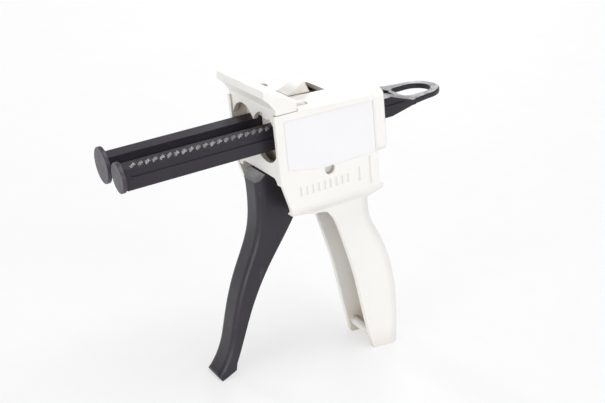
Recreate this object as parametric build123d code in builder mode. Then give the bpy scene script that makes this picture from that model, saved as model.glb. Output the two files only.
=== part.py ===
"""Hand-operated twin-cartridge dispensing gun, in millimetres.

Everything is drawn in the gun's own frame and stood up at the end. In that frame +X is
the way the rods push, +Y is the label side and +Z is up. The origin lies midway between
the two piston axes, where the side walls of the body end at the front.
"""
from math import cos, floor, radians, sin, tan
import os

from build123d import *

os.makedirs("parts", exist_ok=True)

# Stance: the gun stands on its trigger tip and on the foot of its handle
nose_down = 7.25
foot_front_x = -55.6
foot_front_z = -146.2
foot_rear_x = -74.8

# Fits
slide_clearance = 0.4
turn_clearance = 0.05
press_clearance = 0.02
seam_clearance = 0.1
side_play = 0.3

# Pistons and rods
piston_spacing = 23.0
large_disc_diameter = 19.5
small_disc_diameter = 15.9
disc_thickness = 2.2
disc_edge_round = 0.4
disc_stem_diameter = 5.0
disc_stem_length = 9.0
disc_face_x = 80.8
hub_diameter = 10.6
hub_length = 0.4
rod_width = 10.6
rod_top_z = 5.15
rod_bottom_z = -5.95
rod_recess_depth = 0.8
rod_recess_bottom_z = 0.4
rod_recess_top_z = 4.4
rod_recess_margin = 3.0
rod_taper_start_x = -77.0
rod_taper_end_x = -91.0
rear_recess = [(-69.5, 0.4), (-69.5, 3.6), (-77.5, 3.6), (-86.0, 0.4)]

# Racks on the rods
tooth_pitch = 3.9
tooth_height = 1.5
tooth_land = 0.9
tooth_ramp = 2.5
rack_width = 3.5
rack_front_x = 74.5
rack_rear_x = -58.0

# Bridge between the rods, and the pull ring behind them
bridge_front_x = -11.8
bridge_rear_x = -68.0
bridge_thickness = 3.2
ring_thickness = 3.0
ring_middle_z = -1.3
ring_front_x = -89.0
ring_step = 0.7
ring_shoulder_x = -92.0
ring_shoulder_half_width = 16.8
ring_centre_x = -104.0
ring_outer_radius = 14.0
ring_hole_radius = 9.0
ring_hole_front_x = -91.8
ring_hole_round = 4.0
ring_edge_round = 0.8

# Body shells
body_half_width = 26.7
body_wall = 2.5
side_top_z = 15.0
roof_front_x = -13.8
roof_front_z = 17.0
roof_rear_z = 15.0
roof_edge_round = 2.4
body_rear_x = -59.5
cover_bottom_z = -20.0
body_rear_bottom_z = -37.0
cheek = (-5.6, -42.9)
cheek_round = 3.5
heel_x = -62.0
heel_top_z = -38.5
heel_bottom_z = -42.0

# Underside of the body, sloping in from the side walls to the handle
shoulder_z = -40.2
shoulder_round = 6.0
underside_angle = 56.0
middle_margin = 0.5

# Handle, with the curves of its front and back in the side view from the top down
handle_half_width = 14.0
handle_wall = 3.3
handle_back_round = 8.0
handle_front = [
    (-25.0, -50.0),
    (-30.5, -50.4),
    (-33.4, -51.8),
    (-35.4, -54.3),
    (-37.2, -57.2),
    (-38.7, -61.0),
    (-42.5, -75.0),
    (-47.0, -94.4),
    (-50.0, -113.0),
    (-52.9, -132.0),
]
handle_back = [
    (-62.2, -53.5),
    (-63.1, -64.0),
    (-66.8, -73.2),
    (-71.4, -84.4),
    (-74.4, -95.5),
    (-76.2, -108.0),
    (-76.8, -124.0),
]
locating_boss_place = (-58.5, -139.5)
locating_boss_radius = 2.8

# Cartridge seat
opening_radius = 13.6
plate_face_x = -1.0
plate_thickness = 2.5
flange_gap = 5.5
seat_bottom_z = -21.0
seat_leg_width = 4.2
seat_leg_z = -24.2
seat_leg_round = 3.5
seat_back_top_z = 13.4

# Retainer lever
retainer_pivot = (-17.6, 15.5)
retainer_pin_diameter = 2.0
retainer_lug_radius = 3.0
retainer_lug_width = 3.9
retainer_pin_end = 1.1
hood_gap = 0.3
hood_rear_x = -13.3
hood_wall = 2.4
hood_face_top_z = 18.0
hood_brow = (2.0, 22.5)
lip_lower = (5.0, 25.3)
lip_upper = (4.6, 29.3)
hood_rear_top_z = 20.9
hood_edge_round = 1.3
key_lug_width = 6.0
key_lug_height = 2.7
notch_rear_x = -21.6
notch_width = 4.9
notch_depth = 6.0
leaf_thickness = 0.6
leaf_top_z = 12.2
leaf_front_x = -16.0
leaf_rear_x = -30.5
leaf_seat_front_x = -26.5
leaf_seat_bottom_z = 9.4

# Trigger
trigger_pivot = (-29.4, -20.8)
trigger_half_width = 9.0
trigger_pin_diameter = 6.0
trigger_hub_radius = 5.7
trigger_spacer_radius = 5.0
trigger_wall = 2.8
trigger_front_round = 4.5
trigger_face_rear_x = 12.0
trigger_brow = (0.0, -21.6)
trigger_front = [
    (5.7, -25.8),
    (5.6, -36.0),
    (8.2, -54.5),
    (19.0, -78.0),
    (28.8, -105.0),
    (32.9, -118.0),
    (38.0, -127.0),
    (41.2, -130.7),
]
trigger_toe = (41.6, -132.2)
trigger_tip_x = 40.3
trigger_heel = (31.2, -130.2)
trigger_back = [
    (30.2, -126.0),
    (26.3, -117.4),
    (17.6, -97.2),
    (4.2, -74.2),
    (-7.1, -59.3),
    (-14.2, -49.5),
]
trigger_top_rear = (-33.9, -24.2)
pocket_bottom_z = -121.0
washer_thickness = 0.8
washer_diameter = 11.0
trigger_boss_radius = 6.0
pin_end_gap = 2.0

# Drive pawl, carried by the trigger under the far rod
drive_pivot = (-31.0, -12.5)
pawl_pin_diameter = 2.4
pawl_hub_radius = 2.3
pawl_tip_gap = 0.5
pawl_thickness = 3.0
drive_tip_x = -23.5
drive_nose = 2.2
arm_width = 4.0

# Holding pawl and release lever, over the near rod
holding_pivot = (-45.0, 10.3)
holding_tip_x = -33.2
holding_tip_gap = 0.35
holding_boss_radius = 3.5
release_slot_x = (-41.3, -28.3)
release_slot_y = (-12.0, 7.5)
thumb_nose_x = -18.5
thumb_top = [(-18.7, 17.8), (-22.5, 18.7), (-26.0, 20.6), (-28.7, 22.7)]
thumb_crest = (-29.6, 22.7)
thumb_rear_x = -32.3
thumb_gap = 0.4
thumb_y = (-5.0, 7.0)
release_stem_x = (-31.8, -29.3)
release_stem_y = (-5.0, 6.0)
release_arm_y = (-2.0, 6.0)
release_arm_z = (9.3, 11.3)

# Springs: close wound sleeves with two straight legs
spring_wire = 0.9
spring_leg_diameter = 0.7
spring_gap = 0.35
trigger_spring_length = 6.0
trigger_leg_length = 10.0
pawl_spring_length = 3.4
release_spring_length = 5.0
pawl_leg_length = 4.5

# Screws that hold the two shells together
screw_places = [(-16.4, -15.0), (-49.0, -14.5), (-55.0, -43.0), (-65.8, -86.0), (-70.0, -128.0)]
screw_diameter = 3.0
screw_head_diameter = 5.6
screw_head_height = 2.0
screw_length = 15.0
screw_seat_y = -8.0
screw_slot_width = 0.9
screw_slot_depth = 0.8
screw_head_clearance = 0.3
boss_radius = 4.2

# Rear cover and its screws
cover_depth = 7.0
cover_wall = 2.5
cover_corner_round = 4.0
cover_edge_round = 1.6
cover_lip = 2.0
cover_lip_wall = 1.2
cover_screw_inset = 6.1
cover_screw_z = -13.0
cover_screw_length = 9.5
cover_column_radius = 3.5
cover_boss_length = 4.0
cover_boss_radius = 4.2

# Label plate on the near side
label_outline = [(-5.0, 11.1), (-58.7, 10.0), (-58.7, -18.7), (-26.0, -19.3), (-5.0, -15.4)]
label_thickness = 0.3
label_recess = 0.5

# Moulded grooves under the label
groove_width = 1.0
groove_depth = 0.25
groove_pitch = 3.6
groove_count = 9
groove_front_x = -11.0
groove_top_z = -26.6
groove_bottom_z = -31.2
long_grooves = [(-47.0, -24.7, -32.5), (-54.0, -20.4, -36.0)]

# Places worked out from the sizes above
cover_screw_y = body_half_width - cover_screw_inset
piston_y = piston_spacing / 2
rod_inner_y = piston_y - rod_width / 2
rod_outer_y = piston_y + rod_width / 2
rod_middle_z = (rod_top_z + rod_bottom_z) / 2
rack_y = rod_outer_y - rack_width / 2
disc_back_x = disc_face_x - disc_thickness
rod_front_x = disc_back_x - hub_length
body_inner_y = body_half_width - body_wall
handle_inner_y = handle_half_width - handle_wall
plate_back_x = plate_face_x - plate_thickness
backing_face_x = plate_back_x - flange_gap
backing_rear_x = backing_face_x - plate_thickness
seat_half_width = body_inner_y - seam_clearance
cover_rear_x = body_rear_x - cover_depth
foot_slope = tan(radians(nose_down))
foot_rear_z = foot_front_z + (foot_rear_x - foot_front_x) * foot_slope
trigger_tip_z = foot_front_z + (trigger_tip_x - foot_front_x) * foot_slope
reach = 300.0


def side_plane(y):
    """Plane at y whose sketches are the gun's side view and whose extrusions go to -Y."""
    return Plane(origin=(0, y, 0), x_dir=(1, 0, 0), z_dir=(0, -1, 0))


def front_plane(x):
    """Plane at x whose sketches are the gun's front view and whose extrusions go to +X."""
    return Plane(origin=(x, 0, 0), x_dir=(0, 1, 0), z_dir=(1, 0, 0))


def bar(y_range, radius, place, mode=Mode.ADD):
    """A round bar along Y about a place in the side view, in the part being built."""
    with BuildSketch(side_plane(max(y_range))) as circle:
        with Locations(place):
            Circle(radius)
    extrude(circle.sketch, amount=abs(y_range[1] - y_range[0]), mode=mode)


def rod_bar(x_range, radius, place, mode=Mode.ADD):
    """A round bar along X about a place in the front view, in the part being built."""
    with BuildSketch(front_plane(min(x_range))) as circle:
        with Locations(place):
            Circle(radius)
    extrude(circle.sketch, amount=abs(x_range[1] - x_range[0]), mode=mode)


def slab(outline, y_range, mode=Mode.ADD):
    """A slab whose side view is the outline, in the part being built."""
    with BuildSketch(side_plane(max(y_range))) as face:
        with BuildLine():
            Polyline(*outline, close=True)
        make_face()
    extrude(face.sketch, amount=abs(y_range[1] - y_range[0]), mode=mode)


def block(x_range, y_range, z_range, mode=Mode.ADD):
    """A block between two places on each axis, in the part being built."""
    low, high = min(x_range), max(x_range)
    bottom, top = min(z_range), max(z_range)
    slab([(low, bottom), (high, bottom), (high, top), (low, top)], y_range, mode)


def side_view(front, outline, back):
    """Side view between the curves of the handle's front and back, joined by straight runs."""
    with BuildSketch(side_plane(0)) as view:
        with BuildLine():
            Polyline(back[-1], front[-1])
            if len(front) > 2:
                Spline(*front)
            else:
                Polyline(*front)
            Polyline(front[0], *outline, back[0])
            Spline(*back)
        make_face()
        cheek_corner = [
            vertex
            for vertex in view.vertices()
            if abs(vertex.X - cheek[0]) < 0.01 and abs(vertex.Y - cheek[1]) < 0.01
        ]
        if cheek_corner:
            fillet(cheek_corner, radius=cheek_round)
    return view.sketch


def wide_form(view, half_width, corner_z, corner_round, end_half_width):
    """The body over the full side view, its underside sloping in down to the handle."""
    end_z = corner_z - (half_width - end_half_width) / tan(radians(underside_angle))
    with BuildPart() as form:
        extrude(view, amount=half_width, both=True)
        with BuildSketch(front_plane(-reach)) as front_view:
            with BuildLine():
                Polyline(
                    (-half_width, reach),
                    (-half_width, corner_z),
                    (-end_half_width, end_z),
                    (end_half_width, end_z),
                    (half_width, corner_z),
                    (half_width, reach),
                    close=True,
                )
            make_face()
            corners = [vertex for vertex in front_view.vertices() if abs(vertex.Y - corner_z) < 0.01]
            fillet(corners, radius=corner_round)
        extrude(front_view.sketch, amount=2 * reach, mode=Mode.INTERSECT)
    return form.part


def grip_form(view, half_width, back_round):
    """The handle, with its two rear edges rounded."""
    with BuildPart() as form:
        extrude(view, amount=half_width, both=True)
        rear_edges = [
            edge
            for edge in form.edges().filter_by(GeomType.BSPLINE)
            if abs(abs(edge.center().Y) - half_width) < 0.01 and edge.center().X < heel_x
        ]
        fillet(rear_edges, radius=back_round)
    return form.part


# Outer form of body and handle
outer_front = [*handle_front, (foot_front_x, foot_front_z)]
outer_back = [(heel_x, heel_bottom_z), *handle_back, (foot_rear_x, foot_rear_z)]
body_outline = [
    cheek,
    (0, seat_bottom_z),
    (0, side_top_z),
    (roof_front_x, side_top_z),
    (roof_front_x, roof_front_z),
    (body_rear_x, roof_rear_z),
    (body_rear_x, body_rear_bottom_z),
    (heel_x, heel_top_z),
]
grip_corner = ((handle_front[0][0] + cheek[0]) / 2, (handle_front[0][1] + cheek[1]) / 2)
grip_outline = [grip_corner, (grip_corner[0], heel_bottom_z)]
with BuildPart() as outer_form:
    body_view = side_view(outer_front, body_outline, outer_back)
    grip_middle = handle_half_width - handle_back_round - middle_margin
    add(wide_form(body_view, body_half_width, shoulder_z, shoulder_round, grip_middle))
    roof_edges = [
        edge
        for edge in outer_form.edges()
        if edge.center().Z > side_top_z - 0.5
        and abs(abs(edge.center().Y) - body_half_width) < 0.01
        and edge.center().X < roof_front_x - 1
    ]
    fillet(roof_edges, radius=roof_edge_round)
    grip_view = side_view(outer_front, grip_outline, outer_back)
    add(grip_form(grip_view, handle_half_width, handle_back_round))

# Space inside: open at the front, at the foot and towards the rear cover
inner_back = [
    (heel_x + body_wall, heel_bottom_z),
    *[(x + handle_wall, z) for x, z in handle_back],
    (foot_rear_x + handle_wall, foot_rear_z - body_wall),
]
open_front_x = 30.0
open_front = [(open_front_x, heel_bottom_z), (open_front_x, foot_rear_z - body_wall)]
inner_outline = [
    (open_front_x, open_front_x),
    (roof_front_x, open_front_x),
    (roof_front_x, roof_front_z - body_wall),
    (body_rear_x, roof_rear_z - body_wall),
    (cover_rear_x, roof_rear_z - body_wall),
    (cover_rear_x, cover_bottom_z + body_wall),
    (body_rear_x + body_wall, cover_bottom_z + body_wall),
    (body_rear_x + body_wall, body_rear_bottom_z),
    (heel_x + body_wall, heel_top_z),
]
inner_round = handle_back_round - handle_wall
inner_corner_z = shoulder_z + body_wall * tan(radians(underside_angle / 2))
with BuildPart() as inner_form:
    inner_view = side_view(open_front, inner_outline, inner_back)
    inner_middle = handle_inner_y - inner_round - middle_margin
    inner_shoulder_round = shoulder_round - body_wall
    add(wide_form(inner_view, body_inner_y, inner_corner_z, inner_shoulder_round, inner_middle))
    inner_grip_view = side_view(open_front, [], inner_back)
    add(grip_form(inner_grip_view, handle_inner_y, inner_round))

# Bosses on the insides of both shells
holding_near_boss = rod_outer_y + slide_clearance
holding_far_boss = -rod_outer_y + 1.3
spacer_end_y = -rod_outer_y + 0.5
far_washer_y = spacer_end_y - washer_thickness - seam_clearance
near_washer_y = trigger_half_width + trigger_spring_length + 2 * side_play
near_boss_y = near_washer_y + washer_thickness + seam_clearance
cover_boss_x = body_rear_x + cover_lip + seam_clearance
with BuildPart() as bosses:
    for place in screw_places:
        bar((-body_half_width, body_half_width), boss_radius, place)
    bar((-body_half_width, body_half_width), locating_boss_radius, locating_boss_place)
    bar((near_boss_y, body_half_width), trigger_boss_radius, trigger_pivot)
    bar((-body_half_width, far_washer_y - seam_clearance), trigger_boss_radius, trigger_pivot)
    bar((holding_near_boss, body_half_width), holding_boss_radius, holding_pivot)
    bar((-body_half_width, holding_far_boss), holding_boss_radius, holding_pivot)
    for side in (-1, 1):
        place = (side * cover_screw_y, cover_screw_z)
        rod_bar((cover_boss_x, cover_boss_x + cover_boss_length), cover_boss_radius, place)
    block(
        (leaf_rear_x - 1, leaf_seat_front_x),
        (body_inner_y - notch_width, body_half_width),
        (leaf_seat_bottom_z, side_top_z - 0.4),
    )
    add(outer_form.part, mode=Mode.INTERSECT)

# Holes through both shells
screw_head_bore = screw_head_diameter / 2 + screw_head_clearance
screw_bore = screw_diameter / 2 + press_clearance
screw_tip_y = screw_seat_y + screw_length
cover_screw_seat_x = cover_rear_x + screw_head_height + 0.2
cover_screw_tip_x = cover_screw_seat_x + cover_screw_length
trigger_pin_near_y = body_half_width - pin_end_gap
holding_pin_reach = body_inner_y - 1.0
retainer_pin_reach = body_half_width - retainer_pin_end
notch_inner_y = body_inner_y - notch_width
with BuildPart() as shell_cuts:
    for place in screw_places:
        bar((-body_half_width - 1, screw_seat_y), screw_head_bore, place)
        bar((screw_seat_y, screw_tip_y + 0.5), screw_bore, place)
    trigger_bore = trigger_pin_diameter / 2 + turn_clearance
    bar((-body_inner_y - 1, body_half_width + 1), trigger_bore, trigger_pivot)
    pressed_bore = pawl_pin_diameter / 2 + press_clearance
    bar((-holding_pin_reach, holding_pin_reach), pressed_bore, holding_pivot)
    retainer_bore = retainer_pin_diameter / 2 + press_clearance
    bar((-retainer_pin_reach, retainer_pin_reach), retainer_bore, retainer_pivot)
    for side in (-1, 1):
        place = (side * cover_screw_y, cover_screw_z)
        rod_bar((cover_boss_x - 1, cover_screw_tip_x + 0.4), screw_bore, place)
        block(
            (notch_rear_x, roof_front_x + 1),
            (side * notch_inner_y, side * body_inner_y),
            (side_top_z - notch_depth, roof_front_z + 1),
        )
    block(release_slot_x, release_slot_y, (roof_rear_z - 4, roof_front_z + 1))
    block(
        (leaf_rear_x, leaf_front_x),
        (notch_inner_y + 1, body_inner_y),
        (leaf_top_z + turn_clearance, leaf_top_z - leaf_thickness - turn_clearance),
    )


def shell(y_range):
    """One half of the body, between two places across the gun."""
    with BuildPart() as half:
        add(outer_form.part)
        add(inner_form.part, mode=Mode.SUBTRACT)
        add(bosses.part)
        add(shell_cuts.part, mode=Mode.SUBTRACT)
        block((-reach, reach), y_range, (-reach, reach), mode=Mode.INTERSECT)
    return half.part


# Far shell
with BuildPart() as housing_far:
    add(shell((-body_half_width, 0)))

# Near shell, with the recess for the label and the moulded grooves
with BuildPart() as housing_near:
    add(shell((0, body_half_width)))
    slab(label_outline, (body_half_width - label_recess, body_half_width + 1), Mode.SUBTRACT)
    grooves = [
        (groove_front_x - i * groove_pitch, groove_top_z, groove_bottom_z) for i in range(groove_count)
    ]
    for x, top, bottom in [*grooves, *long_grooves]:
        block(
            (x - groove_width / 2, x + groove_width / 2),
            (body_half_width - groove_depth, body_half_width + 1),
            (bottom, top),
            Mode.SUBTRACT,
        )

# Label plate
with BuildPart() as label_plate:
    floor_y = body_half_width - label_recess
    slab(label_outline, (floor_y, floor_y + label_thickness))
    block(
        (label_outline[1][0] - 1, label_outline[1][0] + seam_clearance),
        (floor_y, floor_y + label_thickness),
        (-reach, reach),
        Mode.SUBTRACT,
    )


def rod_section(x, grow, with_bridge):
    """Front view at x of both rods and their racks, grown all round."""
    with BuildSketch(front_plane(x)) as section:
        for side in (-1, 1):
            with Locations((side * piston_y, rod_middle_z)):
                Rectangle(rod_width + 2 * grow, rod_top_z - rod_bottom_z + 2 * grow)
        for place in ((rack_y, rod_top_z), (-rack_y, rod_bottom_z)):
            with Locations(place):
                Rectangle(rack_width + 2 * grow, 2 * tooth_height + 2 * grow)
        if with_bridge:
            with Locations((0, rod_middle_z)):
                Rectangle(2 * piston_y, bridge_thickness + 2 * grow)
    return section.sketch


# Rear cover, a shallow box with a spigot that enters the shells
cover_middle_z = (roof_rear_z + cover_bottom_z) / 2
cover_height = roof_rear_z - cover_bottom_z
opening_height = cover_height - 2 * body_wall
with BuildPart() as rear_cover:
    with BuildSketch(front_plane(cover_rear_x)):
        with Locations((0, cover_middle_z)):
            RectangleRounded(2 * body_half_width, cover_height, cover_corner_round)
    extrude(amount=cover_depth)
    fillet(rear_cover.faces().sort_by(Axis.X)[0].edges(), radius=cover_edge_round)
    with BuildSketch(front_plane(cover_rear_x + cover_wall)):
        with Locations((0, cover_middle_z)):
            RectangleRounded(2 * body_inner_y, opening_height, cover_corner_round - 1)
    extrude(amount=cover_depth, mode=Mode.SUBTRACT)
    with BuildSketch(front_plane(body_rear_x - 1)):
        with Locations((0, cover_middle_z)):
            Rectangle(2 * (body_inner_y - seam_clearance), opening_height - 2 * seam_clearance)
            RectangleRounded(
                2 * (body_inner_y - cover_lip_wall),
                opening_height - 2 * cover_lip_wall,
                cover_corner_round - 2,
                mode=Mode.SUBTRACT,
            )
    extrude(amount=cover_lip + 1)
    for side in (-1, 1):
        place = (side * cover_screw_y, cover_screw_z)
        rod_bar((cover_rear_x + 1, body_rear_x + cover_lip), cover_column_radius, place)
        rod_bar((cover_rear_x - 1, cover_screw_seat_x), screw_head_bore, place, Mode.SUBTRACT)
        rod_bar((cover_rear_x, body_rear_x + cover_lip + 1), screw_bore, place, Mode.SUBTRACT)
    extrude(rod_section(cover_rear_x - 1, slide_clearance, True), amount=cover_depth, mode=Mode.SUBTRACT)

# Cartridge seat, an insert between the side walls
with BuildPart() as cartridge_seat:
    block((plate_back_x, plate_face_x), (-seat_half_width, seat_half_width), (seat_leg_z, 0))
    with BuildSketch(front_plane(plate_back_x - 1)) as arch:
        with BuildLine():
            inner_leg_y = seat_half_width - seat_leg_width
            Polyline(
                (-inner_leg_y, seat_leg_z - 1),
                (-inner_leg_y, seat_bottom_z),
                (inner_leg_y, seat_bottom_z),
                (inner_leg_y, seat_leg_z - 1),
                close=True,
            )
        make_face()
        fillet(arch.vertices().group_by(Axis.Y)[-1], radius=seat_leg_round)
    extrude(amount=plate_thickness + 2, mode=Mode.SUBTRACT)
    block(
        (backing_rear_x, plate_face_x),
        (-seat_half_width, seat_half_width),
        (seat_bottom_z, seat_bottom_z + plate_thickness),
    )
    block(
        (backing_rear_x, backing_face_x),
        (-seat_half_width, seat_half_width),
        (seat_bottom_z, seat_back_top_z),
    )
    for side in (-1, 1):
        mouth_x = (plate_back_x - 0.5, plate_face_x + 1)
        rod_bar(mouth_x, opening_radius, (side * piston_y, 0), Mode.SUBTRACT)
    rods_here = rod_section(backing_rear_x - 1, slide_clearance, False)
    extrude(rods_here, amount=plate_thickness + 2, mode=Mode.SUBTRACT)

# Retainer lever: flap with the upper half of the opening, hood, lip and hinge lugs
flap_half_width = body_inner_y - 0.2
hood_bottom_z = side_top_z + hood_gap
hood_slope = (lip_upper[1] - hood_rear_top_z) / (lip_upper[0] - hood_rear_x)
hood_outline = [
    (plate_face_x, hood_bottom_z),
    (plate_face_x, hood_face_top_z),
    hood_brow,
    lip_lower,
    lip_upper,
    (hood_rear_x, hood_rear_top_z),
    (hood_rear_x, hood_bottom_z),
]
hollow_rear_x = hood_rear_x + hood_wall
hollow_front_x = plate_back_x + 2.9
hollow_rear_z = hood_rear_top_z + hood_wall * (hood_slope - 1.1)
hollow_front_z = hollow_rear_z + (hollow_front_x - hollow_rear_x) * hood_slope
hood_hollow = [
    (plate_back_x, hood_bottom_z - 1),
    (plate_back_x, hood_face_top_z + 1),
    (hollow_front_x, hollow_front_z),
    (hollow_rear_x, hollow_rear_z),
    (hollow_rear_x, hood_bottom_z - 1),
]
lug_outer_y = body_inner_y - 0.3
lug_arm = [
    (retainer_pivot[0], retainer_pivot[1] - retainer_lug_radius),
    (hood_rear_x + 2, side_top_z - 0.9),
    (hood_rear_x + 2, retainer_pivot[1] + retainer_lug_radius),
    (retainer_pivot[0], retainer_pivot[1] + retainer_lug_radius),
]
with BuildPart() as retainer_lever:
    slab(hood_outline, (-body_half_width, body_half_width))
    hood_top_edges = [
        edge
        for edge in retainer_lever.edges()
        if abs(abs(edge.center().Y) - body_half_width) < 0.01 and edge.center().Z > hood_rear_top_z
    ]
    hood_side_edges = [edge for edge in hood_top_edges if edge.length > 5]
    fillet(hood_side_edges, radius=hood_edge_round)
    slab(hood_hollow, (hood_wall - body_half_width, body_half_width - hood_wall), Mode.SUBTRACT)
    block((plate_back_x, plate_face_x), (-flap_half_width, flap_half_width), (0, hood_bottom_z + 1))
    for side in (-1, 1):
        rod_bar((plate_back_x - 1, plate_face_x + 1), opening_radius, (side * piston_y, 0), Mode.SUBTRACT)
        lug_range = (side * lug_outer_y, side * (lug_outer_y - retainer_lug_width))
        slab(lug_arm, lug_range)
        bar(lug_range, retainer_lug_radius, retainer_pivot)
    bar((-reach, reach), retainer_pin_diameter / 2 + turn_clearance, retainer_pivot, Mode.SUBTRACT)
    key_lug_top_z = opening_radius + 0.5
    block(
        (plate_back_x, plate_face_x),
        (piston_y, piston_y + key_lug_width),
        (key_lug_top_z - key_lug_height - 0.5, key_lug_top_z),
    )


def hinge_pin(y_range, diameter, place):
    """A plain pin along Y."""
    with BuildPart() as pin:
        bar(y_range, diameter / 2, place)
    return pin.part


with BuildPart() as retainer_pin_near:
    add(hinge_pin((notch_inner_y, retainer_pin_reach), retainer_pin_diameter, retainer_pivot))

with BuildPart() as retainer_pin_far:
    add(hinge_pin((-notch_inner_y, -retainer_pin_reach), retainer_pin_diameter, retainer_pivot))

# Leaf spring that keeps the retainer lever shut
with BuildPart() as retainer_spring:
    leaf_y = (notch_inner_y + 1 + seam_clearance, body_inner_y - seam_clearance)
    block((leaf_rear_x, leaf_front_x), leaf_y, (leaf_top_z - leaf_thickness, leaf_top_z))

# Trigger: curved blade, open at the back, with a hub and the arm of the drive pawl
arm_near_y = -trigger_half_width
arm_far_y = arm_near_y - arm_width
inner_front = [(x - trigger_wall * 1.1, z) for x, z in trigger_front[1:] if z > pocket_bottom_z]
with BuildPart() as trigger:
    with BuildSketch(side_plane(0)) as blade:
        with BuildLine():
            Polyline(trigger_top_rear, (trigger_pivot[0], trigger_brow[1]), trigger_brow, trigger_front[0])
            Spline(*trigger_front)
            Polyline(
                trigger_front[-1],
                trigger_toe,
                (trigger_tip_x, trigger_tip_z),
                trigger_heel,
                trigger_back[0],
            )
            Spline(*trigger_back)
            Line(trigger_back[-1], trigger_top_rear)
        make_face()
    extrude(amount=trigger_half_width, both=True)
    front_edges = [
        edge
        for edge in trigger.edges().filter_by(GeomType.BSPLINE)
        if abs(abs(edge.center().Y) - trigger_half_width) < 0.01 and edge.center().X > trigger_face_rear_x
    ]
    fillet(front_edges, radius=trigger_front_round)
    with BuildSketch(side_plane(0)) as pocket:
        with BuildLine():
            Spline(*inner_front)
            Polyline(
                inner_front[-1],
                (inner_front[-1][0], pocket_bottom_z),
                (-reach, pocket_bottom_z),
                (-reach, inner_front[0][1]),
                inner_front[0],
            )
        make_face()
    extrude(amount=trigger_half_width - trigger_wall, both=True, mode=Mode.SUBTRACT)
    bar((-trigger_half_width, trigger_half_width), trigger_hub_radius, trigger_pivot)
    bar((arm_far_y, arm_near_y), trigger_hub_radius, trigger_pivot)
    bar((spacer_end_y, arm_far_y), trigger_spacer_radius, trigger_pivot)
    arm_outline = [
        (trigger_pivot[0] - trigger_hub_radius, trigger_pivot[1]),
        (trigger_pivot[0] + trigger_hub_radius, trigger_pivot[1]),
        (drive_pivot[0] + pawl_hub_radius, drive_pivot[1]),
        (drive_pivot[0] - pawl_hub_radius, drive_pivot[1]),
    ]
    slab(arm_outline, (arm_far_y, arm_near_y))
    bar((arm_far_y, arm_near_y), pawl_hub_radius, drive_pivot)
    bar((spacer_end_y, trigger_half_width), trigger_bore, trigger_pivot, Mode.SUBTRACT)
    bar((arm_far_y, arm_near_y), pressed_bore, drive_pivot, Mode.SUBTRACT)

# Trigger pin, recessed in the near wall, and its washers
with BuildPart() as trigger_pin:
    bar((-body_inner_y - 1 + 0.1, trigger_pin_near_y), trigger_pin_diameter / 2, trigger_pivot)


def washer(y_low):
    """A washer on the trigger pin."""
    with BuildPart() as ring:
        bar((y_low, y_low + washer_thickness), washer_diameter / 2, trigger_pivot)
        bar((y_low, y_low + washer_thickness), trigger_bore, trigger_pivot, Mode.SUBTRACT)
    return ring.part


with BuildPart() as trigger_washer_near:
    add(washer(near_washer_y))

with BuildPart() as trigger_washer_far:
    add(washer(far_washer_y))


def torsion_spring(y_range, pin_diameter, place, leg_length, leg_angles):
    """A wound sleeve round a pin, with a straight leg off each end."""
    middle = pin_diameter / 2 + spring_gap + spring_wire / 2
    with BuildPart() as spring:
        bar(y_range, middle + spring_wire / 2, place)
        bar(y_range, middle - spring_wire / 2, place, Mode.SUBTRACT)
        ends = (max(y_range) - spring_wire * 0.7, min(y_range) + spring_wire * 0.7)
        for y, angle in zip(ends, leg_angles):
            along = Vector(cos(radians(angle)), 0, sin(radians(angle)))
            off = Vector(-sin(radians(angle)), 0, cos(radians(angle))) * middle
            start = Vector(place[0], y, place[1]) + off
            leg_plane = Plane(origin=start, x_dir=(0, 1, 0), z_dir=along)
            with BuildSketch(leg_plane) as leg:
                Circle(spring_leg_diameter / 2)
            extrude(leg.sketch, amount=leg_length)
    return spring.part


spring_far_y = trigger_half_width + side_play
trigger_spring_y = (spring_far_y, spring_far_y + trigger_spring_length)
trigger_leg_angles = (200, 300)
with BuildPart() as trigger_return_spring:
    add(
        torsion_spring(
            trigger_spring_y, trigger_pin_diameter, trigger_pivot, trigger_leg_length, trigger_leg_angles
        )
    )

# Drive pawl with its pin and spring
pawl_far_y = arm_far_y - side_play - pawl_thickness
rack_bottom_z = rod_bottom_z - tooth_height
drive_tip_z = rack_bottom_z - pawl_tip_gap
drive_outline = [
    (drive_pivot[0], drive_pivot[1] + pawl_hub_radius),
    (drive_tip_x - 1.6, drive_tip_z - 0.3),
    (drive_tip_x, drive_tip_z),
    (drive_tip_x, drive_tip_z - drive_nose),
    (drive_pivot[0], drive_pivot[1] - pawl_hub_radius),
]
with BuildPart() as drive_pawl:
    bar((pawl_far_y, pawl_far_y + pawl_thickness), pawl_hub_radius, drive_pivot)
    slab(drive_outline, (pawl_far_y, pawl_far_y + pawl_thickness))
    bore = pawl_pin_diameter / 2 + turn_clearance
    bar((pawl_far_y, pawl_far_y + pawl_thickness), bore, drive_pivot, Mode.SUBTRACT)

drive_pin_near_y = arm_near_y + side_play + pawl_spring_length + 0.4
with BuildPart() as drive_pawl_pin:
    add(hinge_pin((pawl_far_y - 0.3, drive_pin_near_y), pawl_pin_diameter, drive_pivot))

drive_spring_y = (arm_near_y + side_play, arm_near_y + side_play + pawl_spring_length)
with BuildPart() as drive_pawl_spring:
    add(torsion_spring(drive_spring_y, pawl_pin_diameter, drive_pivot, pawl_leg_length, (0, 160)))

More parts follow.
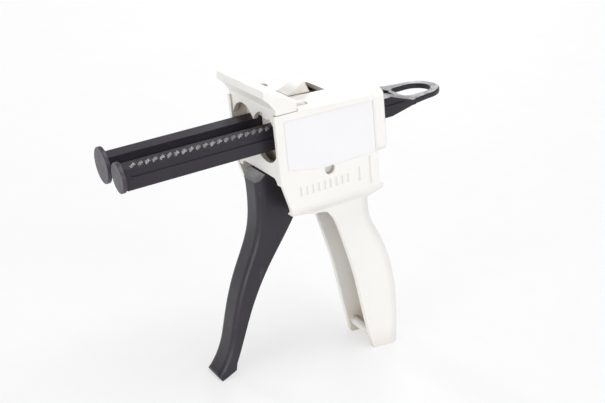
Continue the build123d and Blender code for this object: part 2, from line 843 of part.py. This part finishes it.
# Holding pawl, release lever and their pin and spring
rack_top_z = rod_top_z + tooth_height
holding_tip_z = rack_top_z + holding_tip_gap
holding_far_y = rod_outer_y - rack_width
holding_outline = [
    (holding_pivot[0], holding_pivot[1] + pawl_hub_radius),
    (holding_tip_x - 2.2, holding_tip_z + 2.9),
    (holding_tip_x, holding_tip_z + 0.8),
    (holding_tip_x, holding_tip_z),
    (holding_tip_x - 1.8, holding_tip_z + 0.2),
    (holding_pivot[0], holding_pivot[1] - pawl_hub_radius),
]
with BuildPart() as holding_pawl:
    bar((holding_far_y, rod_outer_y), pawl_hub_radius, holding_pivot)
    slab(holding_outline, (holding_far_y, rod_outer_y))
    bar((holding_far_y, rod_outer_y), pressed_bore, holding_pivot, Mode.SUBTRACT)

with BuildPart() as holding_pawl_pin:
    add(hinge_pin((-holding_pin_reach + 0.1, holding_pin_reach - 0.1), pawl_pin_diameter, holding_pivot))

roof_slope = (roof_front_z - roof_rear_z) / (roof_front_x - body_rear_x)
thumb_nose_z = roof_front_z + (thumb_nose_x - roof_front_x) * roof_slope + thumb_gap
thumb_rear_z = roof_front_z + (thumb_rear_x - roof_front_x) * roof_slope + thumb_gap
release_barrel_y = (release_arm_y[0], holding_far_y - seam_clearance)
with BuildPart() as release_lever:
    with BuildSketch(side_plane(thumb_y[1])) as thumb_rest:
        with BuildLine():
            Spline(*thumb_top)
            Polyline(
                thumb_top[-1],
                thumb_crest,
                (thumb_rear_x, thumb_rear_z),
                (thumb_nose_x, thumb_nose_z),
                thumb_top[0],
            )
        make_face()
    extrude(thumb_rest.sketch, amount=thumb_y[1] - thumb_y[0])
    block(release_stem_x, release_stem_y, (release_arm_z[0], thumb_rear_z + 0.5))
    block((holding_pivot[0], release_stem_x[1]), release_arm_y, release_arm_z)
    bar(release_barrel_y, pawl_hub_radius, holding_pivot)
    bar(release_barrel_y, pressed_bore, holding_pivot, Mode.SUBTRACT)

release_spring_near_y = release_arm_y[0] - side_play
release_spring_y = (release_spring_near_y, release_spring_near_y - release_spring_length)
with BuildPart() as holding_pawl_spring:
    add(torsion_spring(release_spring_y, pawl_pin_diameter, holding_pivot, pawl_leg_length, (350, 180)))

# Plunger: two rods with racks, the bridge between them and the pull ring
tooth_count = floor((rack_front_x - rack_rear_x) / tooth_pitch)


def rack(y_range, base_z, way):
    """Saw teeth along a rod, steep towards the ring and sloping towards the discs."""
    outline = [(rack_front_x, base_z - way)]
    for i in range(tooth_count):
        foot_x = rack_front_x - i * tooth_pitch
        outline.append((foot_x, base_z))
        outline.append((foot_x - tooth_ramp, base_z + way * tooth_height))
        outline.append((foot_x - tooth_ramp - tooth_land, base_z + way * tooth_height))
        outline.append((foot_x - tooth_ramp - tooth_land, base_z))
    last_x = rack_front_x - tooth_count * tooth_pitch
    outline.append((last_x, base_z))
    outline.append((last_x, base_z - way))
    slab(outline, y_range)


ring_top_z = ring_middle_z + ring_thickness / 2
ring_bottom_z = ring_middle_z - ring_thickness / 2
rod_outline = [
    (rod_front_x, rod_bottom_z),
    (rod_front_x, rod_top_z),
    (rod_taper_start_x, rod_top_z),
    (rod_taper_end_x, ring_top_z),
    (ring_shoulder_x - 1, ring_top_z),
    (ring_shoulder_x - 1, ring_bottom_z),
    (rod_taper_end_x, ring_bottom_z),
    (rod_taper_start_x, rod_bottom_z),
]
with BuildPart() as plunger:
    with BuildSketch(Plane.XY.offset(ring_bottom_z)) as ring_view:
        with BuildLine():
            Polyline(
                (ring_centre_x, -ring_outer_radius),
                (ring_shoulder_x, -ring_shoulder_half_width),
                (ring_shoulder_x, ring_shoulder_half_width),
                (ring_centre_x, ring_outer_radius),
            )
            ThreePointArc(
                (ring_centre_x, ring_outer_radius),
                (ring_centre_x - ring_outer_radius, 0),
                (ring_centre_x, -ring_outer_radius),
            )
        make_face()
    extrude(amount=ring_thickness)
    ring_edges = [
        edge
        for edge in plunger.edges()
        if abs(edge.tangent_at(0.5).Z) < 0.1 and edge.center().X < ring_shoulder_x - 1
    ]
    fillet(ring_edges, radius=ring_edge_round)
    block((ring_shoulder_x - 1, ring_front_x), (-piston_y, piston_y), (ring_bottom_z, ring_top_z))
    block(
        (ring_front_x - 1, bridge_rear_x),
        (-piston_y, piston_y),
        (ring_bottom_z, ring_top_z - ring_step),
    )
    block(
        (bridge_rear_x, bridge_front_x),
        (-piston_y, piston_y),
        (rod_middle_z - bridge_thickness / 2, rod_middle_z + bridge_thickness / 2),
    )
    for side in (-1, 1):
        rod_range = (side * rod_inner_y, side * rod_outer_y)
        slab(rod_outline, rod_range)
        slab(rear_recess, (side * (rod_outer_y - rod_recess_depth), side * (rod_outer_y + 1)), Mode.SUBTRACT)
        for face_y, way in ((rod_inner_y, 1), (rod_outer_y, -1)):
            recess = (side * (face_y - way), side * (face_y + way * rod_recess_depth))
            rear_x = (rod_taper_start_x if way < 0 else bridge_front_x) + rod_recess_margin
            block(
                (rear_x, rod_front_x - rod_recess_margin),
                recess,
                (rod_recess_bottom_z, rod_recess_top_z),
                Mode.SUBTRACT,
            )
        stem_bore = disc_stem_diameter / 2 + press_clearance
        stem_range = (rod_front_x - disc_stem_length - 0.3, rod_front_x)
        rod_bar(stem_range, stem_bore, (side * piston_y, 0), Mode.SUBTRACT)
    rack((rod_outer_y - rack_width, rod_outer_y), rod_top_z, 1)
    rack((-rod_outer_y, rack_width - rod_outer_y), rod_bottom_z, -1)
    with BuildSketch(Plane.XY.offset(ring_bottom_z - 1)) as ring_hole:
        with BuildLine():
            Polyline(
                (ring_centre_x, ring_hole_radius),
                (ring_hole_front_x, ring_hole_radius),
                (ring_hole_front_x, -ring_hole_radius),
                (ring_centre_x, -ring_hole_radius),
            )
            ThreePointArc(
                (ring_centre_x, -ring_hole_radius),
                (ring_centre_x - ring_hole_radius, 0),
                (ring_centre_x, ring_hole_radius),
            )
        make_face()
        fillet(ring_hole.vertices().group_by(Axis.X)[-1], radius=ring_hole_round)
    extrude(amount=ring_thickness + 2, mode=Mode.SUBTRACT)


def piston_disc(diameter, y):
    """A disc with a hub against the rod end and a stem pressed into it."""
    with BuildPart() as disc:
        rod_bar((disc_back_x, disc_face_x), diameter / 2, (y, 0))
        fillet(disc.edges().filter_by(GeomType.CIRCLE), radius=disc_edge_round)
        rod_bar((rod_front_x, disc_back_x), hub_diameter / 2, (y, 0))
        rod_bar((rod_front_x - disc_stem_length, rod_front_x), disc_stem_diameter / 2, (y, 0))
    return disc.part


with BuildPart() as piston_disc_large:
    add(piston_disc(large_disc_diameter, -piston_y))

with BuildPart() as piston_disc_small:
    add(piston_disc(small_disc_diameter, piston_y))


def screw(length):
    """A slotted pan-head screw along Z, its shank downwards from the head's seat."""
    with BuildPart() as body:
        with BuildSketch(Plane.XY) as head:
            Circle(screw_head_diameter / 2)
        extrude(amount=screw_head_height)
        fillet(body.faces().sort_by(Axis.Z)[-1].edges(), radius=0.6)
        with BuildSketch(Plane.XY) as shank:
            Circle(screw_diameter / 2)
        extrude(amount=-length)
        with BuildSketch(Plane.XY.offset(screw_head_height)) as slot:
            Rectangle(screw_head_diameter + 1, screw_slot_width)
        extrude(amount=-screw_slot_depth, mode=Mode.SUBTRACT)
    return body.part


screws = {}
for i, (x, z) in enumerate(screw_places):
    seat = Plane(origin=(x, screw_seat_y, z), x_dir=(1, 0, 0), z_dir=(0, -1, 0))
    screws[f"housing_screw_{i + 1}"] = seat.location * screw(screw_length)
for name, side in (("near", 1), ("far", -1)):
    head_place = (cover_screw_seat_x, side * cover_screw_y, cover_screw_z)
    seat = Plane(origin=head_place, x_dir=(0, 1, 0), z_dir=(-1, 0, 0))
    screws[f"cover_screw_{name}"] = seat.location * screw(cover_screw_length)

# Stand the gun on the floor, centred on the origin
pieces = {
    "housing_near": housing_near.part,
    "housing_far": housing_far.part,
    "rear_cover": rear_cover.part,
    "cartridge_seat": cartridge_seat.part,
    "label_plate": label_plate.part,
    "retainer_lever": retainer_lever.part,
    "retainer_pin_near": retainer_pin_near.part,
    "retainer_pin_far": retainer_pin_far.part,
    "retainer_spring": retainer_spring.part,
    "release_lever": release_lever.part,
    "holding_pawl": holding_pawl.part,
    "holding_pawl_pin": holding_pawl_pin.part,
    "holding_pawl_spring": holding_pawl_spring.part,
    "plunger": plunger.part,
    "piston_disc_large": piston_disc_large.part,
    "piston_disc_small": piston_disc_small.part,
    "trigger": trigger.part,
    "trigger_pin": trigger_pin.part,
    "trigger_washer_near": trigger_washer_near.part,
    "trigger_washer_far": trigger_washer_far.part,
    "trigger_return_spring": trigger_return_spring.part,
    "drive_pawl": drive_pawl.part,
    "drive_pawl_pin": drive_pawl_pin.part,
    "drive_pawl_spring": drive_pawl_spring.part,
    **screws,
}
tilt = Rot(0, nose_down, 0)
boxes = [(tilt * piece).bounding_box() for piece in pieces.values()]
lows = [min(getattr(box.min, axis) for box in boxes) for axis in "XYZ"]
highs = [max(getattr(box.max, axis) for box in boxes) for axis in "XYZ"]
shift = Pos(-(lows[0] + highs[0]) / 2, -(lows[1] + highs[1]) / 2, -lows[2])
for name, piece in pieces.items():
    stood = shift * tilt * piece
    stood.label = name
    export_step(stood, f"parts/{name}.step")
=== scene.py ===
"""Dental dispensing gun: looks, light and camera. Metres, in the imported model's own frame."""
import math

import bpy
from mathutils import Matrix, Vector


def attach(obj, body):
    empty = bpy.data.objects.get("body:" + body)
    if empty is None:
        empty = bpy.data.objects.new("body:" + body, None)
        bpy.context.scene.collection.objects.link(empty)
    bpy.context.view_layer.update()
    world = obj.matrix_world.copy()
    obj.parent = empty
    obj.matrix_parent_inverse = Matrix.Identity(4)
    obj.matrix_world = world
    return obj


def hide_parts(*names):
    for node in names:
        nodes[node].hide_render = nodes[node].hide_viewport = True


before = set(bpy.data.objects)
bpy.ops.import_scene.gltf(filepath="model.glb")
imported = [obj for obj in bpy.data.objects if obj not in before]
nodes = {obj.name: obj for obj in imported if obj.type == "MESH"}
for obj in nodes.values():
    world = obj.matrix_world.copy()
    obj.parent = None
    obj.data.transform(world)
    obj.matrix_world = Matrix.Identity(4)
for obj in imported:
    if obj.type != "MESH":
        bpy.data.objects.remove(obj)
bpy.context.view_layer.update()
scene = bpy.context.scene

# The gun's own frame: X forwards along the rods, Z up, tipped nose down to stand
nose_down = math.radians(7.25)
gun_origin = (0.0179891, 0.0, 0.1380145)
gun_to_row = Matrix.Translation(gun_origin) @ Matrix.Rotation(nose_down, 4, "Y")
mm_per_metre = 1000


def at(x, y, z):
    """A place given in the gun's own frame in millimetres, in the row frame in metres."""
    return gun_to_row @ Vector((x / mm_per_metre, y / mm_per_metre, z / mm_per_metre))


# Camera: where the photo was taken from, its place and axes in the gun's own frame
camera_place = (0.2255, 0.4809, 0.1841)
camera_right = Vector((-0.864, 0.4949, -0.0929))
camera_up = Vector((-0.2699, -0.2994, 0.9152))
camera_back = Vector((0.4251, 0.8157, 0.3923))
camera_turn = Matrix((camera_right, camera_up, camera_back)).transposed().to_4x4()
camera_data = bpy.data.cameras.new("camera")
camera_data.lens = 63.2
camera_data.sensor_width = 36.0
camera_data.sensor_fit = "HORIZONTAL"
camera = bpy.data.objects.new("camera", camera_data)
scene.collection.objects.link(camera)
camera.matrix_world = gun_to_row @ Matrix.Translation(camera_place) @ camera_turn
scene.camera = camera

# Rays that a bevel or a hollow node sends out for each sample
ray_samples = 6
# Middle range in which most of a noise's values fall
noise_low, noise_high = 0.3, 0.7
# Ambient occlusion at the bottom of a hollow, and on an open face
ao_deep, ao_open = 0.15, 0.70
# Sockets of the mix node when it mixes colours
mix_factor, mix_first, mix_second, mix_result = 0, 6, 7, 2


def feed(tree, socket, value):
    """Link an input to another node's output, or set its constant."""
    if isinstance(value, bpy.types.NodeSocket):
        tree.links.new(value, socket)
    else:
        socket.default_value = value


def add_node(tree, kind, **inputs):
    """A new node with its inputs fed by name, an underscore standing for a space."""
    made = tree.nodes.new(kind)
    for name, value in inputs.items():
        feed(tree, made.inputs[name.replace("_", " ")], value)
    return made


def map_range(tree, value, low, high, low_out, high_out):
    """Values from low to high mapped onto low_out to high_out, and held level beyond."""
    made = add_node(
        tree,
        "ShaderNodeMapRange",
        Value=value,
        From_Min=low,
        From_Max=high,
        To_Min=low_out,
        To_Max=high_out,
    )
    return made.outputs["Result"]


class Nodes:
    """Short calls for building a material's node tree."""

    def __init__(self, name):
        self.material = bpy.data.materials.new(name)
        self.material.use_nodes = True
        self.tree = self.material.node_tree
        self.shader = self.tree.nodes["Principled BSDF"]
        self.place = self.tree.nodes.new("ShaderNodeTexCoord").outputs["Object"]

    def node(self, kind, **inputs):
        return add_node(self.tree, kind, **inputs)

    def stretched(self, x, y, z):
        """The piece's own coordinates, scaled along each axis."""
        made = self.node("ShaderNodeMapping", Vector=self.place, Scale=(x, y, z))
        return made.outputs["Vector"]

    def noise(self, scale, detail=2.0, place=None, roughness=0.5):
        made = self.node(
            "ShaderNodeTexNoise",
            Vector=place or self.place,
            Scale=scale,
            Detail=detail,
            Roughness=roughness,
        )
        return made.outputs["Fac"]

    def ramp(self, value, low, high, low_out=0.0, high_out=1.0):
        return map_range(self.tree, value, low, high, low_out, high_out)

    def spread(self, noise, low_out, high_out):
        """A noise's middle range, spread from low_out to high_out."""
        return self.ramp(noise, noise_low, noise_high, low_out, high_out)

    def mix(self, factor, first, second):
        """Two colours mixed: each is another node's output or red, green and blue."""
        made = self.tree.nodes.new("ShaderNodeMix")
        made.data_type = "RGBA"
        feed(self.tree, made.inputs[mix_factor], factor)
        for index, colour in ((mix_first, first), (mix_second, second)):
            if isinstance(colour, tuple):
                colour = (*colour, 1.0)
            feed(self.tree, made.inputs[index], colour)
        return made.outputs[mix_result]

    def bump(self, height, strength, distance, normal=None):
        made = self.node(
            "ShaderNodeBump", Height=height, Strength=strength, Distance=distance
        )
        if normal is not None:
            self.tree.links.new(normal, made.inputs["Normal"])
        return made.outputs["Normal"]

    def hollows(self, reach):
        """How enclosed a place is: 0 in the open, 1 deep in a hollow."""
        made = self.node("ShaderNodeAmbientOcclusion", Distance=reach)
        made.samples = ray_samples
        return self.ramp(made.outputs["AO"], ao_deep, ao_open, 1.0, 0.0)

    def soft_edges(self, radius):
        """Normals rounded over the sharp edges."""
        made = self.node("ShaderNodeBevel", Radius=radius)
        made.samples = ray_samples
        return made.outputs["Normal"]

    def set(self, name, value):
        feed(self.tree, self.shader.inputs[name], value)


def white_plastic(name, colour, shade):
    """Moulded white plastic: fine spark texture, faint flow marks, painted shade in its hollows.
    """
    m = Nodes(name)
    grain = m.noise(scale=2600.0, detail=3.0)
    flow = m.noise(scale=38.0, detail=3.0, place=m.stretched(1.0, 1.0, 0.35))
    grime = m.ramp(m.noise(scale=90.0, detail=5.0, roughness=0.65), low=0.56, high=0.78)
    unshaded = m.mix(m.spread(flow, 0.0, 0.6), colour, shade)
    # Painted shade: the colour is darkened to a warm grey where ambient occlusion finds a
    # hollow, standing in for shade and warm bounce light
    painted_shade = (0.58, 0.52, 0.44)
    m.set("Base Color", m.mix(m.hollows(reach=0.025), unshaded, painted_shade))
    m.set("Roughness", m.spread(m.noise(scale=160.0, detail=4.0), 0.34, 0.46))
    normal = m.soft_edges(radius=0.0005)
    normal = m.bump(grime, strength=0.03, distance=0.0001, normal=normal)
    m.set("Normal", m.bump(grain, strength=0.10, distance=0.00006, normal=normal))
    m.set("IOR", 1.49)
    m.set("Subsurface Weight", 0.06)
    m.set("Subsurface Radius", (0.004, 0.0035, 0.003))
    m.set("Subsurface Scale", 0.3)
    return m.material


def black_plastic(name, colour, worn, edge=0.0004, run=(0.25, 1.0, 1.0)):
    """Moulded black plastic: fine grain, faint scuffs drawn out by run, greyer where worn."""
    m = Nodes(name)
    grain = m.noise(scale=2400.0, detail=3.0)
    scratches = m.noise(scale=420.0, detail=6.0, place=m.stretched(*run), roughness=0.7)
    scuffs = m.ramp(scratches, low=0.60, high=0.74)
    cloud = m.noise(scale=60.0, detail=3.0)
    tone = m.mix(m.spread(cloud, 0.0, 0.5), colour, worn)
    scuffed = tuple(4 * c for c in worn)
    scuff_share = m.ramp(scuffs, low=0.0, high=1.0, low_out=0.0, high_out=0.35)
    m.set("Base Color", m.mix(scuff_share, tone, scuffed))
    m.set("Roughness", m.spread(m.noise(scale=140.0, detail=4.0), 0.32, 0.44))
    normal = m.soft_edges(radius=edge)
    normal = m.bump(scuffs, strength=0.05, distance=0.00005, normal=normal)
    m.set("Normal", m.bump(grain, strength=0.16, distance=0.00007, normal=normal))
    m.set("IOR", 1.5)
    m.set("Specular IOR Level", 0.3)
    return m.material


def steel(name, colour, rough, along):
    """Turned or drawn steel: fine lines round or along the piece, faint stain."""
    m = Nodes(name)
    lines = m.noise(scale=900.0, detail=2.0, place=m.stretched(*along))
    stain = m.ramp(m.noise(scale=220.0, detail=4.0), low=0.45, high=0.75)
    stained = tuple(0.7 * c for c in colour)
    m.set("Base Color", m.mix(stain, colour, stained))
    m.set("Metallic", 1.0)
    swing = 0.08
    m.set("Roughness", m.spread(lines, rough - swing, rough + swing))
    m.set("Normal", m.bump(lines, strength=0.12, distance=0.00003))
    return m.material


def vinyl(name, colour, shade):
    """Blank label: smooth vinyl with a very soft sheen and faint waviness."""
    m = Nodes(name)
    wave = m.noise(scale=55.0, detail=2.0)
    m.set("Base Color", m.mix(m.spread(wave, 0.0, 0.5), colour, shade))
    m.set("Roughness", m.spread(m.noise(scale=300.0, detail=3.0), 0.30, 0.36))
    m.set("Normal", m.bump(wave, strength=0.05, distance=0.0004))
    m.set("Coat Weight", 0.25)
    m.set("Coat Roughness", 0.2)
    return m.material


body_white = white_plastic("body_white", (0.86, 0.85, 0.82), (0.83, 0.81, 0.77))
insert_white = white_plastic("insert_white", (0.84, 0.825, 0.79), (0.80, 0.78, 0.73))
rod_black = black_plastic(
    "rod_black", (0.024, 0.021, 0.028), (0.030, 0.026, 0.035), edge=0.00012
)
trigger_black = black_plastic(
    "trigger_black", (0.028, 0.025, 0.031), (0.036, 0.032, 0.040), run=(1.0, 1.0, 0.25)
)
disc_black = black_plastic(
    "disc_black", (0.050, 0.045, 0.055), (0.062, 0.056, 0.068), edge=0.0002
)
pin_steel = steel("pin_steel", (0.62, 0.62, 0.61), rough=0.32, along=(1.0, 0.1, 1.0))
spring_steel = steel("spring_steel", (0.48, 0.48, 0.50), rough=0.36, along=(1.0, 1.0, 1.0))
screw_steel = steel("screw_steel", (0.66, 0.66, 0.64), rough=0.28, along=(1.0, 1.0, 1.0))
label_white = vinyl("label_white", (0.84, 0.835, 0.85), (0.81, 0.805, 0.825))

finishes = {
    body_white: ("housing_near", "housing_far", "rear_cover", "retainer_lever", "release_lever"),
    insert_white: ("cartridge_seat",),
    rod_black: ("plunger",),
    disc_black: ("piston_disc_large", "piston_disc_small"),
    trigger_black: ("trigger",),
    pin_steel: (
        "retainer_pin_near",
        "retainer_pin_far",
        "holding_pawl_pin",
        "holding_pawl",
        "trigger_pin",
        "trigger_washer_near",
        "trigger_washer_far",
        "drive_pawl",
        "drive_pawl_pin",
    ),
    spring_steel: ("retainer_spring",),
    screw_steel: (
        "housing_screw_1",
        "housing_screw_2",
        "housing_screw_3",
        "housing_screw_4",
        "housing_screw_5",
        "cover_screw_near",
        "cover_screw_far",
    ),
    label_white: ("label_plate",),
}
for material, names in finishes.items():
    for name in names:
        mesh = nodes[name].data
        mesh.materials.clear()
        mesh.materials.append(material)

# Torsion springs wound from wire, in place of the CAD's plain sleeves; millimetres
wire_radius = 0.45
coil_pitch = 2.1 * wire_radius
steps_per_turn = 28


def around(centre_x, centre_z, radius, angle, y):
    """The place at a radius and an angle round a line that runs across the gun."""
    return (centre_x + radius * math.cos(angle), y, centre_z + radius * math.sin(angle))


def wound_spring(node, body, pivot, ends, coil_radius, legs, leg_length):
    """Close-wound wire round a pin, with a straight leg off each end.

    The pivot is the pin's X and Z, the ends are where the coil stops in Y, and the legs
    are the directions in which they point, in degrees from forwards towards up.
    """
    near, far = ends[0] - wire_radius, ends[1] + wire_radius
    start, finish = math.radians(legs[0] + 90), math.radians(legs[1] - 90)
    turns = round((near - far) / coil_pitch - (finish - start) / math.tau)
    sweep = finish - start + turns * math.tau
    steps = round(abs(sweep) / math.tau * steps_per_turn)
    coil = []
    for i in range(steps + 1):
        angle = start + sweep * i / steps
        y = near + (far - near) * i / steps
        coil.append(around(*pivot, coil_radius, angle, y))
    tips = []
    for (x, y, z), leg in ((coil[0], legs[0]), (coil[-1], legs[1])):
        tips.append(around(x, z, leg_length, math.radians(leg), y))
    path = [tips[0], *coil, tips[1]]
    data = bpy.data.curves.new(f"{node}_wire", "CURVE")
    data.dimensions = "3D"
    data.bevel_depth = wire_radius / mm_per_metre
    data.bevel_resolution = 3
    data.use_fill_caps = True
    wire = data.splines.new("POLY")
    wire.points.add(len(path) - 1)
    for point, place in zip(wire.points, path):
        point.co = (*at(*place), 1.0)
    wire.use_smooth = True
    spring = bpy.data.objects.new(f"{node}_wire", data)
    scene.collection.objects.link(spring)
    data.materials.append(spring_steel)
    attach(spring, body)
    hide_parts(node)


wound_spring(
    "trigger_return_spring",
    "housing",
    pivot=(-29.4, -20.8),
    ends=(15.3, 9.3),
    coil_radius=3.8,
    legs=(200, 300),
    leg_length=10.0,
)
wound_spring(
    "holding_pawl_spring",
    "housing",
    pivot=(-45.0, 10.3),
    ends=(-2.3, -7.3),
    coil_radius=2.0,
    legs=(350, 180),
    leg_length=4.5,
)
wound_spring(
    "drive_pawl_spring",
    "trigger",
    pivot=(-31.0, -12.5),
    ends=(-5.3, -8.7),
    coil_radius=2.0,
    legs=(0, 160),
    leg_length=4.5,
)

# Floor: a wide sheet of matt paper, with emission so that it comes out near white
half = 6
corners = [(-half, -half, 0), (half, -half, 0), (half, half, 0), (-half, half, 0)]
floor_mesh = bpy.data.meshes.new("floor")
floor_mesh.from_pydata(corners, [], [(0, 1, 2, 3)])
floor = bpy.data.objects.new("floor", floor_mesh)
scene.collection.objects.link(floor)
paper = Nodes("paper")
mottle = paper.noise(scale=9.0)
paper.set("Base Color", paper.mix(mottle, (0.32, 0.32, 0.33), (0.30, 0.30, 0.31)))
paper.set("Roughness", paper.spread(paper.noise(scale=60.0), 0.75, 0.85))
paper.set("Emission Color", (1.0, 1.0, 1.0, 1.0))
paper.set("Emission Strength", 0.60)
floor_mesh.materials.append(paper.material)

# Surroundings: bright round the horizon, fading with height to a dim ceiling
fade_start, fade_end = 0.12, 0.30
horizon_strength, ceiling_strength = 0.85, 0.16
world = bpy.data.worlds.new("studio")
scene.world = world
world.use_nodes = True
studio = world.node_tree
backdrop = studio.nodes["Background"]
direction = studio.nodes.new("ShaderNodeTexCoord").outputs["Generated"]
height = add_node(studio, "ShaderNodeSeparateXYZ", Vector=direction).outputs["Z"]
glow = map_range(studio, height, fade_start, fade_end, horizon_strength, ceiling_strength)
feed(studio, backdrop.inputs["Color"], (1.0, 0.995, 0.985, 1.0))
feed(studio, backdrop.inputs["Strength"], glow)


def area_light(name, place, target, size, power):
    """A square soft box at a place, aimed at a target; metres and watts."""
    data = bpy.data.lights.new(name, "AREA")
    data.size = size
    data.energy = power
    light = bpy.data.objects.new(name, data)
    scene.collection.objects.link(light)
    light.location = place
    aim = Vector(target) - Vector(place)
    light.rotation_euler = aim.to_track_quat("-Z", "Y").to_euler()


area_light("overhead", (-0.3, 0.5, 3.2), (0, 0, 0.1), size=2.4, power=74)
area_light("side", (-0.6, 3.4, 1.5), (0, 0, 0.08), size=2.0, power=34)
area_light("front", (2.8, 1.3, 0.5), (0, 0, 0.1), size=1.4, power=42)
area_light("rear", (-1.40, -1.92, 1.08), (-0.1, 0, 0.13), size=0.8, power=13)
area_light("teeth", (0.52, -1.92, 1.14), (0.05, 0, 0.14), size=0.30, power=8)

scene.view_settings.view_transform = "Standard"
